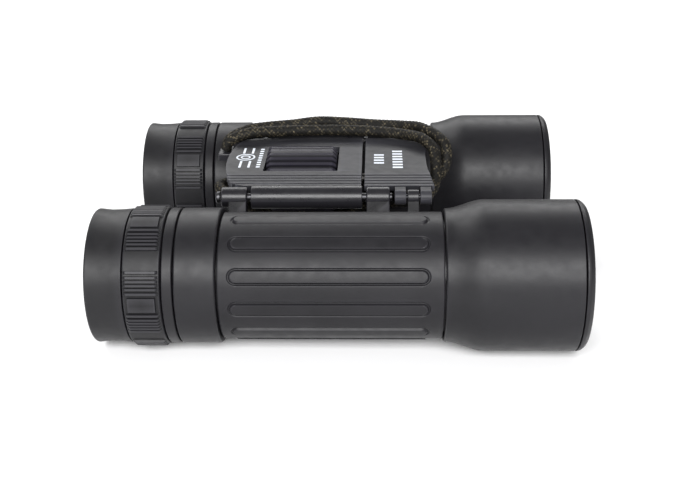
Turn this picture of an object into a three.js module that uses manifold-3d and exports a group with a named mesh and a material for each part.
// Compact 10x25 roof-prism binoculars with a double-hinged bridge, as an assembly of separate pieces.
// Millimetres. +X points from the eyecups to the objectives, +Y to the user's left, +Z up.
// The origin is on the ground, in the middle of the opened binoculars' length and width.
import * as THREE from 'three';
import { mergeVertices } from 'three/addons/utils/BufferGeometryUtils.js';
import Module from 'manifold-3d';

const wasm = await Module();
wasm.setup();

// ---------------------------------------------------------------- driving dimensions
const GAP = 0.3; // clearance kept between two pieces that touch

// lengths along one barrel, from the eyecup's lip forwards
const EYECUP_LENGTH = 8.8;
const RING_LENGTH = 8.8;
const COLLAR_LENGTH = 2.7;
const EYE_HOUSING_LENGTH = 9.7;
const ARMOUR_LENGTH = 51.9;
const FRONT_HOUSING_LENGTH = 31;
const RIM_LENGTH = 2.1;

// radii of one barrel
const HOUSING_R = 17.95; // front housing, the widest part
const ARMOUR_R = 15.0;
const ARMOUR_WALL = 1.3;
const PANEL_RISE = 0.35;
const PANELS = 12; // grip panels round the armour
const PANEL_START = 23; // degrees of the first one above level, on the outer side
const PANEL_HALF = 1.6; // half the width of a panel
const BARE_ARC = 0.35; // radians either side of the hinge with no panel
const TUBE_WALL = 1.1;
const EYE_HOUSING_R = 16.06;
const RING_R = 16.8;
const EYECUP_R = 15.96;
const OCULAR_R = 11.6;

// the pair
const SPACING = 68.6; // between the optical axes, fully opened
const HINGE_ANGLE = THREE.MathUtils.degToRad(50.86); // hinge seen from its barrel's axis, above level
const HINGE_REACH = 4.47; // hinge axis above the armour

// hinges and focusing links, along the hinge axes
const REAR_LUG_LENGTH = 6.3;
const FRONT_LUG_LENGTH = 5.7;
const LUG_GAP = 1.0; // between a barrel's lug and the bridge
const KNUCKLE_LENGTH = 2.8;
const LUG_R = 2.5;
const HINGE_TUBE_R = 2.8;
const KNUCKLE_R = 1.8;
const ROD_R = 1.0;
const PIN_R = 0.7;
const LUG_WEB = 3.6; // thickness of a lug's foot across the barrel

// bridge
const COVER_DROP = 0.5; // how far the ribbed shoulders fall from the deck to the cover's edge
const COVER_THICKNESS = 1.5;
const FRAME_THICKNESS = 1.9;
const BELLY_THICKNESS = 1.2;
const DECK_RISE = 2.3; // deck above the hinge axes
const SHOULDER_WIDTH = 6.5;
const SHOULDER_STEPS = 4;
const REAR_BOW = 3; // how far the cover's rear edge bows out in the middle
const REAR_CORNER = 4; // rounding of its rear corners

// focusing
const WHEEL_R = 8.5;
const WHEEL_RISE = 3.0; // top of the wheel above the deck
const WHEEL_FLUTES = 32;
const FLUTE_DEPTH = 0.4;
const WHEEL_WALL = 1.3; // bridge wall at each end of the wheel
const AXLE_R = 1.4;
const THREAD_R = 1.75; // crests of the lead screw
const FOCUS_TRAVEL = 2.5;
const CARRIAGE_LENGTH = 15.8;

// wrist strap, its route from one end in the anchor, over the deck, round the carriage and back
const CORD_R = 1.4;
const STRAP_ROUTE = [
  [24.9, 14.2, 15.3],
  [26, 14.2, 17.5],
  [31, 14.4, 19.7],
  [37, 16, 19.7],
  [45, 17.6, 19.5],
  [55, 18, 19.5],
  [66, 17, 19.4],
  [73, 14.8, 19.3],
  [79, 9.2, 19.5],
  [81.7, 4.4, 17],
  [80.6, -3.3, 9.7],
  [77, -4.9, 7.8],
  [70, -4.6, 7],
  [63, -3.5, 5],
  [57.2, -2.1, 2.3],
  [51, -1.6, 1.5],
  [37, -2.1, 2.4],
  [30.5, -5.1, 8],
  [27.5, -4.35, 9.2],
  [25, 0, 9.7],
  [27.5, 4.35, 9.2],
  [30.5, 5.1, 8],
  [37, 2.1, 2.4],
  [51, 1.6, 1.5],
  [57.2, 2.1, 2.3],
  [63, 3.5, 5],
  [70, 4.6, 7],
  [77, 5.2, 7.6],
  [83.8, 4.8, 12.2],
  [84.6, 8, 18.2],
  [78.6, 16, 20.6],
  [73.5, 19.8, 20.1],
  [66, 22, 19.8],
  [57, 22.9, 20.2],
  [50, 23, 20.4],
  [43, 22.2, 19.8],
  [36, 20.4, 19.7],
  [31, 18.4, 19.5],
  [25.8, 17.4, 17.2],
  [24.9, 17.4, 15.3],
];
const STRAP_JOINTS = [0, 6, 12, 26, 32, 39]; // route points where the strap passes from body to body

// ---------------------------------------------------------------- worked-out places
// stations along a barrel, from the eyecup's lip
const ringX = EYECUP_LENGTH;
const collarX = ringX + RING_LENGTH;
const eyeHousingX = collarX + COLLAR_LENGTH;
const armourX = eyeHousingX + EYE_HOUSING_LENGTH;
const frontHousingX = armourX + ARMOUR_LENGTH;
const rimX = frontHousingX + FRONT_HOUSING_LENGTH;
const fullLength = rimX + RIM_LENGTH;

const tubeOuterR = ARMOUR_R - ARMOUR_WALL - GAP;
const tubeInnerR = tubeOuterR - TUBE_WALL;
const hingeDistance = ARMOUR_R + HINGE_REACH;
const hingeIn = hingeDistance * Math.cos(HINGE_ANGLE);
const hingeUp = hingeDistance * Math.sin(HINGE_ANGLE);
const hingeY = SPACING / 2 - hingeIn;

// stations along the hinges
const rearLugX = armourX - 1.4;
const frontLugX = frontHousingX - 18.1;
const hingeTubeX = rearLugX + REAR_LUG_LENGTH + LUG_GAP;
const hingeTubeEndX = frontLugX - LUG_GAP;
const rearKnuckleX = frontLugX + FRONT_LUG_LENGTH + LUG_GAP + 0.2;
const armX = rearKnuckleX + KNUCKLE_LENGTH + GAP;
const frontKnuckleX = armX + KNUCKLE_LENGTH + GAP;
const knuckleEndX = frontKnuckleX + KNUCKLE_LENGTH;

// bridge levels, above the barrels' axes
const deckZ = hingeUp + DECK_RISE;
const coverUnderZ = deckZ - COVER_THICKNESS;
const frameTopZ = coverUnderZ - GAP;
const frameUnderZ = frameTopZ - FRAME_THICKNESS;
const bellyTopZ = frameUnderZ - GAP;
const bellyUnderZ = bellyTopZ - BELLY_THICKNESS;
const wheelZ = deckZ + WHEEL_RISE - WHEEL_R;

// bridge plan
const coverX = armourX - 2.6;
const coverEndX = hingeTubeEndX - 0.3;
const coverHalf = hingeY - HINGE_TUBE_R - 0.35;
const deckHalf = coverHalf - SHOULDER_WIDTH;
const wheelX = hingeTubeX + WHEEL_WALL + 0.7;
const wheelEndX = hingeTubeEndX - 6.8;
const windowHalf = WHEEL_R + 1;
const carriageX = coverEndX + 0.8;
const carriageEndX = carriageX + CARRIAGE_LENGTH;

// ---------------------------------------------------------------- geometry helpers
/** Shared corners, no collapsed faces, and every face pointing out. */
function tidy(source) {
  const bare = new THREE.BufferGeometry();
  bare.setAttribute('position', source.getAttribute('position').clone());
  if (source.index) bare.setIndex(source.index.clone());
  const merged = mergeVertices(bare, 1e-4);
  const corners = merged.getAttribute('position');
  const index = merged.index.array;
  const faces = [];
  let volume = 0;
  const [a, b, c] = [new THREE.Vector3(), new THREE.Vector3(), new THREE.Vector3()];
  for (let i = 0; i < index.length; i += 3) {
    const [p, q, r] = [index[i], index[i + 1], index[i + 2]];
    if (p === q || q === r || r === p) continue;
    faces.push([p, q, r]);
    a.fromBufferAttribute(corners, p);
    b.fromBufferAttribute(corners, q);
    c.fromBufferAttribute(corners, r);
    volume += a.dot(b.cross(c));
  }
  if (volume < 0) faces.forEach((face) => face.reverse());
  merged.setIndex(faces.flat());
  return merged;
}

function toSolid(source) {
  const geometry = tidy(source);
  const mesh = new wasm.Mesh({
    numProp: 3,
    vertProperties: new Float32Array(geometry.getAttribute('position').array),
    triVerts: new Uint32Array(geometry.index.array),
  });
  return new wasm.Manifold(mesh);
}

function toGeometry(solid) {
  const mesh = solid.getMesh();
  const geometry = new THREE.BufferGeometry();
  geometry.setAttribute('position', new THREE.BufferAttribute(new Float32Array(mesh.vertProperties), 3));
  geometry.setIndex(new THREE.BufferAttribute(new Uint32Array(mesh.triVerts), 1));
  return geometry;
}

const join = (...pieces) => toGeometry(pieces.map(toSolid).reduce((sum, piece) => sum.add(piece)));
const cut = (body, ...tools) =>
  toGeometry(tools.map(toSolid).reduce((rest, tool) => rest.subtract(tool), toSolid(body)));
const common = (a, b) => toGeometry(toSolid(a).intersect(toSolid(b)));

/** A body turned about the X axis from its half section, a list of [x, radius]. */
function turned(section, sides, open = false) {
  const outline = open ? [...section, section[0]] : section;
  const geometry = new THREE.LatheGeometry(
    outline.map(([x, r]) => new THREE.Vector2(r, x)),
    sides,
  );
  return geometry.rotateZ(-Math.PI / 2);
}

/** A ring or tube turned about the X axis: its section closes on itself. */
const ring = (section, sides) => turned(section, sides, true);

const tube = (x0, x1, inner, outer, sides) =>
  ring([[x0, inner], [x0, outer], [x1, outer], [x1, inner]], sides);

const rod = (x0, x1, radius, sides) => turned([[x0, 0], [x0, radius], [x1, radius], [x1, 0]], sides);

const block = (x0, x1, y0, y1, z0, z1) =>
  new THREE.BoxGeometry(x1 - x0, y1 - y0, z1 - z0).translate((x0 + x1) / 2, (y0 + y1) / 2, (z0 + z1) / 2);

/** A [y, z] outline drawn out along X. */
function drawnAlongX(outline, x0, x1) {
  const shape = new THREE.Shape(outline.map(([y, z]) => new THREE.Vector2(y, z)));
  const geometry = new THREE.ExtrudeGeometry(shape, { depth: x1 - x0, bevelEnabled: false, steps: 1 });
  const turn = new THREE.Matrix4().makeBasis(
    new THREE.Vector3(0, 1, 0),
    new THREE.Vector3(0, 0, 1),
    new THREE.Vector3(1, 0, 0),
  );
  return geometry.applyMatrix4(turn).translate(x0, 0, 0);
}

/** An [x, y] outline drawn up along Z. */
function drawnUp(shape, z0, z1, curveSegments = 8) {
  const options = { depth: z1 - z0, bevelEnabled: false, steps: 1, curveSegments };
  return new THREE.ExtrudeGeometry(shape, options).translate(0, 0, z0);
}

/** Moves a piece made about the X axis onto a barrel's hinge axis. */
const onHinge = (geometry) => geometry.translate(0, hingeIn, hingeUp);

/** A bar that stands out of a barrel towards its hinge, from radius r0 to r1. */
const hingeBar = (x0, x1, width, r0, r1) =>
  block(x0, x1, r0, r1, -width / 2, width / 2).rotateX(HINGE_ANGLE);

// ---------------------------------------------------------------- finishes
const finish = (color, roughness, metalness) => ({ color, roughness, metalness });
const FINISHES = {
  armour: finish(0x3b3a3f, 0.62, 0),
  rubber: finish(0x2b2b2e, 0.75, 0),
  housing: finish(0x424146, 0.5, 0),
  deck: finish(0x46464b, 0.4, 0.1),
  wheel: finish(0x252428, 0.55, 0),
  steel: finish(0xb9b9bd, 0.3, 1),
  blackMetal: finish(0x1c1c1f, 0.45, 0.6),
  tube: finish(0x2c2c30, 0.45, 0),
  brass: finish(0xa58846, 0.35, 1),
  glass: finish(0xd8e6ea, 0.03, 0),
  coated: finish(0x8f3a4a, 0.03, 0),
  cord: finish(0x1a1916, 0.9, 0),
};

function named(name, geometry, finishName) {
  const mesh = new THREE.Mesh(tidy(geometry), new THREE.MeshStandardMaterial(FINISHES[finishName]));
  mesh.name = name;
  return mesh;
}

// ---------------------------------------------------------------- one barrel, +Y towards the bridge
const SKIN_SIDES = 32; // armour, front housing and rim
const BODY_SIDES = 26;
const INNER_SIDES = 18;

/** Tube that carries everything, with its two hinge lugs and the slot for the focusing arm. */
function barrelTube() {
  const endX = frontHousingX + 4;
  const shell = tube(collarX + 0.3, endX, tubeInnerR, tubeOuterR, BODY_SIDES);
  const lug = (x0, x1, footX0) =>
    [onHinge(rod(x0, x1, LUG_R, 20)), hingeBar(footX0, x1, LUG_WEB, tubeInnerR + 0.4, hingeDistance - ROD_R)];
  const body = join(
    shell,
    ...lug(rearLugX, rearLugX + REAR_LUG_LENGTH, armourX + 0.4),
    ...lug(frontLugX, frontLugX + FRONT_LUG_LENGTH, frontLugX),
  );
  const bore = onHinge(rod(rearLugX - 1, frontLugX + FRONT_LUG_LENGTH + 1, ROD_R + 0.2, 16));
  const slot = hingeBar(armX - 0.5, endX + 1, KNUCKLE_LENGTH, tubeInnerR - 3, tubeOuterR + 3);
  return cut(body, bore, slot);
}

/** Rubber sleeve with raised obround panels all round, left out beside the hinge. */
function armourSleeve() {
  const x0 = armourX + 0.15;
  const x1 = frontHousingX - 0.15;
  const inner = tubeOuterR + GAP;
  const edge = 0.4;
  const sleeve = ring(
    [[x0, inner], [x0, ARMOUR_R - edge], [x0 + edge, ARMOUR_R], [x1 - edge, ARMOUR_R], [x1, ARMOUR_R - edge],
      [x1, inner]],
    SKIN_SIDES,
  );
  const half = PANEL_HALF;
  const [panelX0, panelX1] = [armourX + 2.8, frontHousingX - 3.7];
  const outline = new THREE.Shape();
  outline.moveTo(panelX0 + half, -half);
  outline.lineTo(panelX1 - half, -half);
  outline.absarc(panelX1 - half, 0, half, -Math.PI / 2, Math.PI / 2, false);
  outline.lineTo(panelX0 + half, half);
  outline.absarc(panelX0 + half, 0, half, Math.PI / 2, (Math.PI * 3) / 2, false);
  const panels = [];
  for (let i = 0; i < PANELS; i += 1) {
    const angle = THREE.MathUtils.degToRad(PANEL_START + (360 / PANELS) * i);
    const turn = angle - (Math.PI - HINGE_ANGLE);
    const fromHinge = Math.abs(Math.atan2(Math.sin(turn), Math.cos(turn)));
    if (fromHinge < BARE_ARC) continue;
    const panel = drawnUp(outline, ARMOUR_R - 0.6, ARMOUR_R + PANEL_RISE, 4);
    panels.push(panel.rotateX(Math.PI / 2 - angle));
  }
  const web = LUG_WEB + 2 * GAP;
  const slotX1 = armX + KNUCKLE_LENGTH + FOCUS_TRAVEL + GAP;
  const openings = [
    hingeBar(x0 - 1, rearLugX + REAR_LUG_LENGTH + GAP, web, inner - 3, hingeDistance),
    hingeBar(frontLugX - GAP, frontLugX + FRONT_LUG_LENGTH + GAP, web, inner - 3, hingeDistance),
    hingeBar(armX - GAP, slotX1, KNUCKLE_LENGTH, inner - 3, hingeDistance),
  ];
  return cut(join(sleeve, ...panels), ...openings);
}

/** Plain sleeve of the eyepiece end between two stations, with bevelled edges. */
function eyeSleeve(start, end, bevel) {
  const [x0, x1] = [start + GAP / 2, end - GAP / 2];
  const inner = tubeOuterR + GAP;
  const R = EYE_HOUSING_R;
  const section = [[x0, inner], [x0, R - bevel], [x0 + bevel, R], [x1 - bevel, R], [x1, R - bevel], [x1, inner]];
  return ring(section, BODY_SIDES);
}

const eyeHousing = () => eyeSleeve(eyeHousingX, armourX, 0.3);
const collar = () => eyeSleeve(collarX, eyeHousingX, 0.2);

/** Grip ring: ten groups round it, each a flat pad and a run of ribs. */
function gripRing() {
  const x0 = ringX + 0.15;
  const x1 = collarX - 0.15;
  const groups = 10;
  const inner = OCULAR_R + 0.5;
  const valley = RING_R - 0.55;
  const outline = new THREE.Shape();
  const at = (radius, degrees) => {
    const angle = THREE.MathUtils.degToRad(degrees);
    return new THREE.Vector2(radius * Math.cos(angle), radius * Math.sin(angle));
  };
  const points = [];
  for (let g = 0; g < groups; g += 1) {
    const start = (360 / groups) * g;
    points.push(at(RING_R, start - 7.5), at(RING_R, start + 7.5));
    for (let rib = 0; rib < 4; rib += 1) {
      const middle = start + 11.2 + rib * 4.5;
      points.push(at(valley, middle - 1.4), at(RING_R, middle - 0.6), at(RING_R, middle + 1.2));
    }
  }
  outline.setFromPoints(points);
  const hole = new THREE.Path();
  hole.absarc(0, 0, inner, 0, Math.PI * 2, true);
  outline.holes.push(hole);
  const length = x1 - x0;
  const body = new THREE.ExtrudeGeometry(outline, { depth: length, bevelEnabled: false, curveSegments: 10 });
  return body.rotateY(Math.PI / 2).translate(x0, 0, 0);
}

/** Soft cup that sets the eye's distance: a thin flared lip on a thicker root. */
function eyecup() {
  const x1 = ringX - 0.15;
  const root = x1 - 3.4;
  const R = EYECUP_R;
  const seat = OCULAR_R + 0.5;
  return ring(
    [[0, R - 1.1], [0.15, R - 0.2], [0.5, R], [3.2, R - 0.3], [x1, R], [x1, seat], [root, seat],
      [root - 0.6, R - 2.4], [0.8, R - 1.4]],
    BODY_SIDES,
  );
}

/** Flared front housing, bored to take the tube and the sliding lens cell. */
function frontHousing() {
  const x0 = frontHousingX + 0.15;
  const x1 = rimX - 0.15;
  const R = HOUSING_R;
  const startR = Math.min(ARMOUR_R + 0.8, R - 0.1);
  const flare = [];
  for (let i = 0; i <= 3; i += 1) {
    const t = i / 3;
    flare.push([x0 + 0.3 + 9.3 * t, startR + (R - startR) * t * t * (3 - 2 * t)]);
  }
  const bore = R - 2.35;
  const body = ring(
    [[x0, tubeOuterR + GAP], [x0, startR - 0.3], ...flare, [x1, R], [x1, bore], [x0 + 7.5, bore],
      [x0 + 5.6, tubeOuterR + GAP]],
    SKIN_SIDES,
  );
  return body;
}

/** Ring that closes the front edge and keeps the lens cell in. */
function rimRing() {
  const R = HOUSING_R;
  return ring(
    [[rimX + 0.15, R - 4.4], [rimX + 0.15, R], [rimX + 0.5, R], [fullLength - 0.9, R - 0.45],
      [fullLength, R - 1.6], [fullLength, R - 4.4]],
    SKIN_SIDES,
  );
}

const cellX = frontHousingX + 11.1;
const cellR = HOUSING_R - 2.75;
const lensR = cellR - 2.1;
const cellLength = 10.5;

/** Sliding cell: a tube with a shoulder behind the lens. */
function frontCell() {
  const shoulderX = cellX + 2.2;
  return ring(
    [[cellX, lensR - 0.9], [cellX, cellR], [cellX + cellLength, cellR], [cellX + cellLength, lensR + GAP],
      [shoulderX, lensR + GAP], [shoulderX, lensR - 0.9]],
    BODY_SIDES,
  );
}

/** Lens between two shallow domes, with a ground edge. */
function lens(x0, edge, radius, backDome, frontDome, sides) {
  const section = [[x0 - backDome, 0], [x0 - backDome * 0.75, radius * 0.5], [x0, radius],
    [x0 + edge, radius], [x0 + edge + frontDome * 0.75, radius * 0.5], [x0 + edge + frontDome, 0]];
  return turned(section, sides);
}

const frontLens = () => lens(cellX + 2.2 + GAP, 2.6, lensR, -0.5, 1.3, BODY_SIDES);

/** Threaded ring that holds the front lens in its cell. */
function frontLensRing() {
  const x0 = cellX + 2.2 + GAP + 2.6 + GAP;
  return tube(x0, x0 + 1.6, lensR - 0.5, lensR, BODY_SIDES);
}

/** Arm from the hinge knuckle through the barrel's slot to the lens cell. */
function focusArm() {
  const bar = 2.0;
  const barR0 = tubeOuterR - 1.8;
  const footLength = 2.0; // the arm's end reaches out to the cell's rear shoulder
  const arm = join(
    onHinge(rod(armX, armX + KNUCKLE_LENGTH, KNUCKLE_R, 16)),
    hingeBar(armX, armX + KNUCKLE_LENGTH, bar, barR0, hingeDistance - PIN_R),
    hingeBar(armX, cellX - GAP, bar, barR0, tubeOuterR),
    hingeBar(cellX - GAP - footLength, cellX - GAP, bar, barR0, Math.max(tubeOuterR, lensR)),
  );
  return cut(arm, onHinge(rod(armX - 1, armX + KNUCKLE_LENGTH + 1, PIN_R + 0.2, 12)));
}

// prisms, drawn in the upright plane along the barrel
const cageR = tubeInnerR - GAP;
const prismScale = cageR / 12;
const cageX = armourX + 2;
const cageLength = 27;

function prism(outline, width) {
  const scaled = outline.map(([x, z]) => new THREE.Vector2(x * prismScale, z * prismScale));
  const w = width * prismScale;
  const body = new THREE.ExtrudeGeometry(new THREE.Shape(scaled), { depth: w, bevelEnabled: false });
  return body.translate(0, 0, -w / 2).rotateX(Math.PI / 2).translate(cageX + 4, 0, 0);
}

/** Schmidt prism, its long face cut to a roof. */
function roofPrism() {
  const body = prism([[0, -7.2], [10.6, 3.4], [0, 7.8]], 11);
  const roof = new THREE.Shape([[-7, -8], [7, -8], [7, 1.4], [0, 8.4], [-7, 1.4]]
    .map(([y, z]) => new THREE.Vector2(y * prismScale, z * prismScale)));
  const tool = new THREE.ExtrudeGeometry(roof, { depth: 40, bevelEnabled: false })
    .applyMatrix4(new THREE.Matrix4().makeBasis(
      new THREE.Vector3(0, 1, 0), new THREE.Vector3(0, 0, 1), new THREE.Vector3(1, 0, 0)))
    .translate(-15, 0, 0)
    .rotateY(THREE.MathUtils.degToRad(22.5))
    .translate(cageX + 4, 0, -0.4 * prismScale);
  return common(body, tool);
}

const halfPrism = () => prism([[0.7, -7.2], [14.9, 7], [14.9, -5], [4.7, -9.2]], 11);

/** Sheet-metal cage that keeps the two prisms square to each other. */
function prismCage() {
  const [x0, x1] = [cageX, cageX + cageLength];
  const aperture = 6.8 * prismScale;
  return ring(
    [[x0, aperture], [x0, cageR], [x1, cageR], [x1, aperture], [x1 - 0.9, aperture], [x1 - 0.9, cageR - 0.8],
      [x0 + 0.9, cageR - 0.8], [x0 + 0.9, aperture]],
    INNER_SIDES,
  );
}

const ocularX = 4.6;
const ocularEndX = eyeHousingX + 5;
const ocularBore = OCULAR_R - 1.3;

/** Eyepiece barrel with an inward lip in front of the eye lens. */
function ocularTube() {
  return ring(
    [[ocularX, ocularBore - 1.5], [ocularX, OCULAR_R - 0.4], [ocularX + 0.4, OCULAR_R],
      [ocularEndX, OCULAR_R], [ocularEndX, ocularBore], [ocularX + 1.6, ocularBore], [ocularX + 1.6, ocularBore - 1.5]],
    INNER_SIDES + 4,
  );
}

const eyeLensR = ocularBore - GAP;
const eyeLens = () => lens(ocularX + 1.6 + GAP + 0.2, 1.8, eyeLensR, 0.9, 1.3, INNER_SIDES);
const fieldLens = () => lens(ocularEndX - 7, 1.6, eyeLensR, 1.2, 0.6, INNER_SIDES);

/** Spacer that holds the two eyepiece lenses apart. */
function lensSpacer() {
  const x0 = ocularX + 1.6 + GAP + 0.2 + 1.8 + GAP;
  return tube(x0, ocularEndX - 7 - GAP, eyeLensR - 0.9, eyeLensR, INNER_SIDES);
}

const hingeRod = () => onHinge(join(
  rod(rearLugX - 1.1, frontLugX + FRONT_LUG_LENGTH + 0.6, ROD_R, 16),
  rod(rearLugX - 1.4, rearLugX - 0.3, 1.45, 16),
));

const linkPin = () => onHinge(rod(rearKnuckleX + 0.2, knuckleEndX - 0.2, PIN_R, 12));

/** Every piece of one barrel: name, shape and finish. */
const BARREL_PIECES = [
  ['barrel_tube', barrelTube, 'tube'],
  ['rubber_armour', armourSleeve, 'armour'],
  ['eyepiece_housing', eyeHousing, 'housing'],
  ['collar', collar, 'housing'],
  ['eyecup', eyecup, 'rubber'],
  ['front_housing', frontHousing, 'housing'],
  ['front_rim', rimRing, 'housing'],
  ['objective_cell', frontCell, 'blackMetal'],
  ['objective_lens', frontLens, 'coated'],
  ['objective_lens_ring', frontLensRing, 'blackMetal'],
  ['focus_arm', focusArm, 'blackMetal'],
  ['roof_prism', roofPrism, 'glass'],
  ['half_prism', halfPrism, 'glass'],
  ['prism_cage', prismCage, 'steel'],
  ['ocular_tube', ocularTube, 'blackMetal'],
  ['eye_lens', eyeLens, 'glass'],
  ['lens_spacer', lensSpacer, 'blackMetal'],
  ['field_lens', fieldLens, 'glass'],
  ['hinge_rod', hingeRod, 'steel'],
  ['link_pin', linkPin, 'steel'],
];

function barrel(side) {
  const group = new THREE.Group();
  const left = side === 'left';
  group.position.set(0, ((left ? 1 : -1) * SPACING) / 2, 0);
  const pieces = [...BARREL_PIECES, [left ? 'grip_ring' : 'dioptre_ring', gripRing, 'rubber']];
  for (const [name, make, finishName] of pieces) {
    const geometry = make();
    if (left) geometry.scale(1, -1, 1);
    group.add(named(`${side}_${name}`, geometry, finishName));
  }
  return group;
}

// ---------------------------------------------------------------- bridge, z from the barrels' axes
/** Plan of the cover: square in front, bowed behind with rounded corners. */
function coverPlan(x0, x1, half) {
  const steps = 16;
  const points = [new THREE.Vector2(x1, -half), new THREE.Vector2(x1, half)];
  for (let i = 0; i <= steps; i += 1) {
    const y = half * Math.cos((Math.PI * i) / steps);
    const intoCorner = Math.max(0, Math.abs(y) - (half - REAR_CORNER)) / REAR_CORNER;
    const corner = REAR_CORNER * (1 - Math.sqrt(1 - Math.min(1, intoCorner) ** 2));
    const x = x0 + REAR_BOW * (y / half) ** 2 + corner;
    points.push(new THREE.Vector2(x, y));
  }
  return new THREE.Shape(points);
}

/** Cross-section of the deck with its stepped shoulders. */
function deckSection(half, topZ, thickness) {
  const flat = half - SHOULDER_WIDTH;
  const side = [];
  const step = SHOULDER_WIDTH / SHOULDER_STEPS;
  const drop = COVER_DROP / SHOULDER_STEPS;
  for (let i = 0; i < SHOULDER_STEPS; i += 1) {
    side.push([flat + step * i, topZ - drop * i]);
    side.push([flat + step * i + 0.25, topZ - drop * (i + 1)]);
  }
  side.push([half, topZ - COVER_DROP]);
  const under = topZ - thickness;
  const right = side.map(([y, z]) => [-y, z]).reverse();
  return [...right, ...side, [half, under], [-half, under]];
}

function bridgeCover() {
  const section = drawnAlongX(deckSection(coverHalf, deckZ, COVER_THICKNESS), coverX, coverEndX);
  const plan = drawnUp(coverPlan(coverX, coverEndX, coverHalf + 0.6), coverUnderZ - 1, deckZ + 1, 10);
  const window = block(wheelX - 0.4, wheelEndX + 0.4, -windowHalf, windowHalf, coverUnderZ - 1, deckZ + 1);
  return cut(common(section, plan), window);
}

const frameRearX = coverX + 2.6;
const screwPlaces = [
  [hingeTubeX - 2.2, 8.6],
  [hingeTubeX - 2.2, -8.6],
  [hingeTubeEndX - 3.2, 11.5],
  [hingeTubeEndX - 3.2, -11.5],
];

const SCREW_R = 0.75;
const SCREW_HOLE_R = SCREW_R + GAP;

/** An upright cylinder about a place, half of its length below z. */
const upright = ([x, y], z, radius, height) =>
  new THREE.CylinderGeometry(radius, radius, height, 10).rotateX(Math.PI / 2).translate(x, y, z);

/** Load-carrying frame: two hinge tubes, the web between them and the wheel's end walls. */
function bridgeFrame() {
  const hinge = (side) =>
    rod(hingeTubeX, hingeTubeEndX, HINGE_TUBE_R, 24).translate(0, side * hingeY, hingeUp);
  const webX1 = hingeTubeEndX - 0.3;
  const web = drawnUp(coverPlan(frameRearX, webX1, coverHalf - 1.2), frameUnderZ, frameTopZ, 8);
  const shoulders = block(hingeTubeX, webX1, -hingeY, hingeY, frameUnderZ, frameTopZ);
  const wallHalf = 5.5;
  const wall = (x0, x1) => block(x0, x1, -wallHalf, wallHalf, wheelZ - AXLE_R - 1.6, frameUnderZ + 0.5);
  const body = join(
    web, shoulders, hinge(1), hinge(-1),
    wall(hingeTubeX, hingeTubeX + WHEEL_WALL), wall(wheelEndX + 0.7, wheelEndX + 0.7 + WHEEL_WALL),
  );
  const tools = [
    block(wheelX - 0.7, wheelEndX + 0.7, -windowHalf, windowHalf, frameUnderZ - 1, frameTopZ + 1),
    rod(hingeTubeX - 4, hingeTubeEndX + 4, AXLE_R + 0.25, 16).translate(0, 0, wheelZ),
  ];
  for (const side of [1, -1]) {
    tools.push(rod(hingeTubeX - 1, hingeTubeEndX + 1, ROD_R + GAP, 16).translate(0, side * hingeY, hingeUp));
  }
  tools.push(...screwPlaces.map((place) => upright(place, frameUnderZ, SCREW_HOLE_R, 10)));
  return cut(body, ...tools);
}

/** Thin plate that closes the bridge from below, open for the wheel. */
function bellyCover() {
  const plan = drawnUp(coverPlan(frameRearX, coverEndX, coverHalf - 4.4), bellyUnderZ, bellyTopZ, 8);
  const roomX1 = wheelEndX + 0.7 + WHEEL_WALL + GAP;
  const tools = [
    block(hingeTubeX - GAP, roomX1, -windowHalf, windowHalf, bellyUnderZ - 1, bellyTopZ + 1),
    rod(hingeTubeX - 2, coverEndX + 2, THREAD_R + GAP, 16).translate(0, 0, wheelZ),
  ];
  tools.push(...screwPlaces.map((place) => upright(place, bellyUnderZ, SCREW_HOLE_R, 10)));
  return cut(plan, ...tools);
}

/** Cover screw with a cross recess, put in from below. */
function coverScrew([x, y]) {
  const headTop = bellyUnderZ - GAP;
  const shank = frameTopZ - headTop + 0.2;
  const screw = join(
    new THREE.CylinderGeometry(1.5, 1.2, 0.8, 12).rotateX(-Math.PI / 2).translate(0, 0, headTop - 0.4),
    upright([0, 0], frameTopZ - shank / 2, SCREW_R, shank),
  );
  const recess = [block(-0.9, 0.9, -0.18, 0.18, headTop - 1, headTop - 0.4),
    block(-0.18, 0.18, -0.9, 0.9, headTop - 1, headTop - 0.4)];
  return cut(screw, ...recess).translate(x, y, 0);
}

/** Fluted thumb wheel with bevelled ends, bored for its axle. */
function focusWheel() {
  const x0 = wheelX;
  const x1 = wheelEndX;
  const points = [];
  for (let i = 0; i < WHEEL_FLUTES; i += 1) {
    const start = (2 * Math.PI * i) / WHEEL_FLUTES;
    const step = (2 * Math.PI) / WHEEL_FLUTES;
    for (const [t, depth] of [[0, 0], [0.6, FLUTE_DEPTH]]) {
      const angle = start + t * step;
      const r = WHEEL_R - depth;
      points.push(new THREE.Vector2(r * Math.cos(angle), r * Math.sin(angle)));
    }
  }
  const shape = new THREE.Shape(points);
  const hole = new THREE.Path();
  hole.absarc(0, 0, AXLE_R + GAP, 0, Math.PI * 2, true);
  shape.holes.push(hole);
  const body = new THREE.ExtrudeGeometry(shape, { depth: x1 - x0, bevelEnabled: false, curveSegments: 8 })
    .rotateY(Math.PI / 2).translate(x0, 0, 0);
  const bevel = 1.0;
  const edge = turned([[x0 - 0.5, 0], [x0 - 0.5, WHEEL_R - bevel - 0.5], [x0 + bevel, WHEEL_R + 0.4],
    [x1 - bevel, WHEEL_R + 0.4], [x1 + 0.5, WHEEL_R - bevel - 0.5], [x1 + 0.5, 0]], 24);
  return common(body, edge).translate(0, 0, wheelZ);
}

const screwEndX = carriageX + 12;
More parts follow.
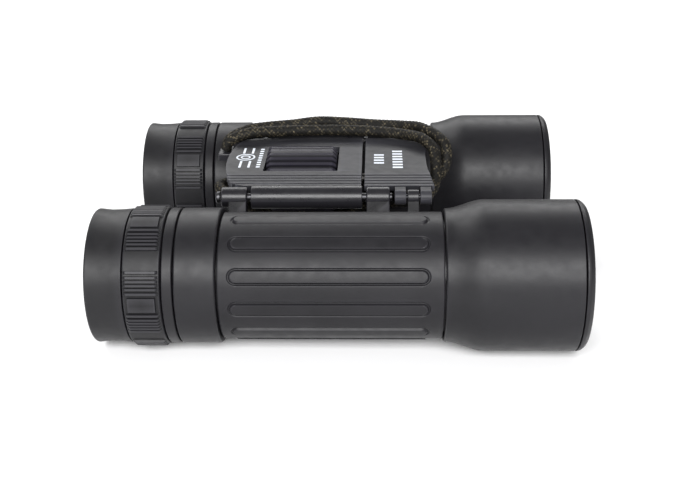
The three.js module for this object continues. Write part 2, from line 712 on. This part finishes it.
/** Axle of the wheel, stepped up to the lead screw that drives the carriage. */
function leadScrew() {
  const section = [[hingeTubeX - 0.8, 0], [hingeTubeX - 0.8, AXLE_R], [carriageX + 1, AXLE_R]];
  const pitch = 1.4;
  for (let x = carriageX + 1; x + pitch <= screwEndX; x += pitch) {
    section.push([x + pitch / 2, THREAD_R], [x + pitch, AXLE_R]);
  }
  section.push([screwEndX, AXLE_R], [screwEndX, 0]);
  return turned(section, 14).translate(0, 0, wheelZ);
}

/** Carriage: the front part of the deck, with the knuckles that pull both focusing arms. */
function focusCarriage() {
  const slant = 1.4;
  const plan = new THREE.Shape();
  plan.moveTo(carriageX, -coverHalf);
  plan.lineTo(carriageEndX + slant, -coverHalf);
  plan.lineTo(carriageEndX, -deckHalf * 0.5);
  plan.lineTo(carriageEndX, deckHalf * 0.5);
  plan.lineTo(carriageEndX + slant, coverHalf);
  plan.lineTo(carriageX, coverHalf);
  const top = common(
    drawnAlongX(deckSection(coverHalf, deckZ, COVER_THICKNESS), carriageX, carriageEndX + slant + 1),
    drawnUp(plan, coverUnderZ - 1, deckZ + 1),
  );
  const pieces = [top];
  for (const side of [1, -1]) {
    for (const x of [rearKnuckleX, frontKnuckleX]) {
      pieces.push(rod(x, x + KNUCKLE_LENGTH, KNUCKLE_R, 16).translate(0, side * hingeY, hingeUp));
      const [y0, y1] = side > 0 ? [coverHalf - 2.5, hingeY] : [-hingeY, 2.5 - coverHalf];
      pieces.push(block(x, x + KNUCKLE_LENGTH, y0, y1, hingeUp - 0.2, hingeUp + KNUCKLE_R - 0.2));
    }
  }
  const tools = [];
  for (const side of [1, -1]) {
    tools.push(rod(rearKnuckleX - 1, knuckleEndX + 1, PIN_R + 0.2, 12).translate(0, side * hingeY, hingeUp));
  }
  return cut(join(...pieces), ...tools);
}

/** Nut under the carriage that runs on the lead screw. */
function carriageNut() {
  const [x0, x1] = [carriageX + 3.5, carriageX + 9.5];
  const half = 4;
  const nut = block(x0, x1, -half, half, wheelZ - 2.6, coverUnderZ - GAP);
  return cut(nut, rod(x0 - 1, x1 + 1, THREAD_R + GAP, 16).translate(0, 0, wheelZ));
}

/** Anchor behind the bridge's rear corner: the strap's two ends come up out of it. */
function strapAnchor() {
  const [y0, y1] = [STRAP_ROUTE[0][1] - 1.9, STRAP_ROUTE[STRAP_ROUTE.length - 1][1] + 1.9];
  const x = STRAP_ROUTE[0][0];
  const topZ = STRAP_ROUTE[0][2] - 0.7;
  const underZ = topZ - 2.1;
  return join(
    block(x - 1.9, x + 1.9, y0, y1, underZ, topZ),
    block(x, frameRearX + 0.6, y0 + 1.2, y0 + 4.4, underZ, topZ - 1.0),
  );
}

/** Part of the strap's route between two of its points, short of each by half a gap. */
class Stretch extends THREE.Curve {
  constructor(whole, from, to) {
    super();
    const { points } = whole;
    const last = points.length - 1;
    const trim = (i, towards) => GAP / 2 / points[i].distanceTo(points[towards]);
    this.whole = whole;
    this.start = (from + trim(from, from + 1)) / last;
    this.end = (to - trim(to, to - 1)) / last;
  }

  getPoint(t, target = new THREE.Vector3()) {
    return this.whole.getPoint(this.start + (this.end - this.start) * t, target);
  }
}

function strapPiece(from, to) {
  const sides = 8;
  const points = STRAP_ROUTE.map(([x, y, z]) => new THREE.Vector3(x, y, z));
  const path = new Stretch(new THREE.CatmullRomCurve3(points, false, 'centripetal'), from, to);
  const corners = Array.from({ length: sides }, (_, i) => {
    const angle = (2 * Math.PI * (i + 0.5)) / sides;
    return new THREE.Vector2(CORD_R * Math.cos(angle), CORD_R * Math.sin(angle));
  });
  const steps = Math.round(path.getLength() / (CORD_R * 2 * 2));
  return new THREE.ExtrudeGeometry(new THREE.Shape(corners), { extrudePath: path, steps, bevelEnabled: false });
}

function strap() {
  const group = new THREE.Group();
  const names = ['strap_top_near', 'strap_front_near', 'strap_under', 'strap_front_far', 'strap_top_far'];
  names.forEach((name, i) => group.add(named(name, strapPiece(STRAP_JOINTS[i], STRAP_JOINTS[i + 1]), 'cord')));
  return group;
}

function bridge() {
  const group = new THREE.Group();
  group.add(named('bridge_cover', bridgeCover(), 'deck'));
  group.add(named('bridge_frame', bridgeFrame(), 'blackMetal'));
  group.add(named('belly_cover', bellyCover(), 'deck'));
  screwPlaces.forEach((place, i) => group.add(named(`cover_screw_${i + 1}`, coverScrew(place), 'steel')));
  group.add(named('focus_wheel', focusWheel(), 'wheel'));
  group.add(named('lead_screw', leadScrew(), 'brass'));
  group.add(named('focus_carriage', focusCarriage(), 'deck'));
  group.add(named('carriage_nut', carriageNut(), 'brass'));
  group.add(named('strap_anchor', strapAnchor(), 'blackMetal'));
  return group;
}

// ---------------------------------------------------------------- the whole object
const binoculars = new THREE.Group();
binoculars.position.set(-fullLength / 2, 0, HOUSING_R);
binoculars.add(bridge(), strap(), barrel('right'), barrel('left'));

export default binoculars;
